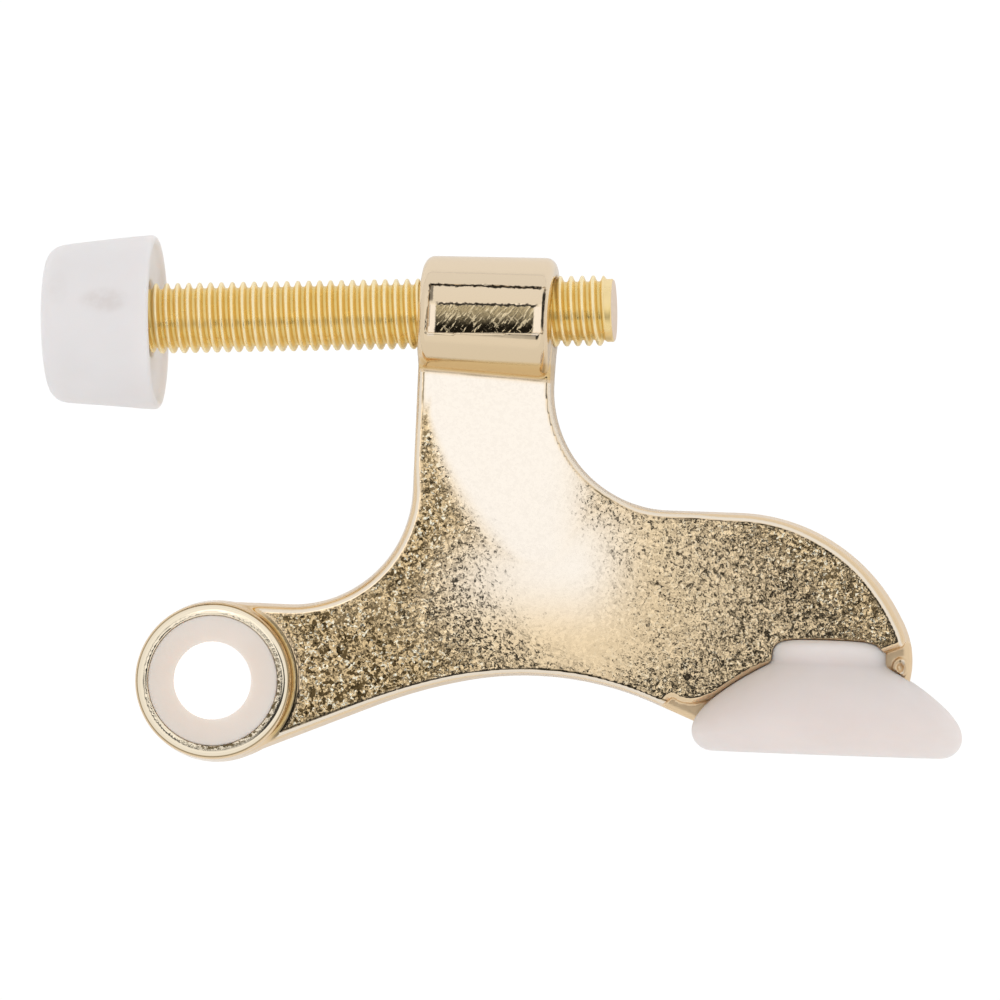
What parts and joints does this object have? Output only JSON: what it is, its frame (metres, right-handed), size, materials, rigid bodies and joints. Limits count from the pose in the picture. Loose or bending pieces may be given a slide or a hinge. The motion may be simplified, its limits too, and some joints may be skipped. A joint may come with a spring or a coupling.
{
  "type": "hinge-pin door stop",
  "caption": "Hinge-pin door stop: cast brass-finish arm with a bushed eye, a fixed mushroom bumper and a threaded rod that sets the reach of a tapered tip bumper.",
  "frame": {"origin": "centre of the hinge-pin bore, half way along it, on the arm's middle plane", "axes": "+Z along the hinge pin, out of the face seen in the picture; +X along the threaded rod, from the tip bumper to the rod's free end; +Y from the hinge pin towards the rod"},
  "size_m": [0.1038, 0.0614, 0.0306],
  "materials": {
    "plated_casting": "bright brass plating over die-cast zinc, grainy on the flat faces",
    "plated_rod": "bright yellow brass",
    "white_nylon": "smooth white nylon",
    "white_rubber": "smooth satin white rubber, slightly milky"
  },
  "bodies": {
    "arm": {"arm_casting": "plated_casting", "front_bushing": "white_nylon", "rear_bushing": "white_nylon", "fixed_bumper": "white_rubber"},
    "tip": {"tip_bumper": "white_rubber"},
    "rod": {"threaded_rod": "plated_rod"}
  },
  "joints": [
    {"name": "rod_slide", "type": "slide", "parent": "arm", "child": "tip", "axis": [1, 0, 0], "range_m": [-0.00625, 0.02875]},
    {"name": "rod_turn", "type": "hinge", "parent": "tip", "child": "rod", "pos_m": [-0.01, 0.04135, 0], "axis": [1, 0, 0], "range_deg": [-1800, 8280]}
  ],
  "couplings": [
    {"joint": "rod_turn", "follows": "rod_slide", "rad_per_m": 5026.5}
  ]
}
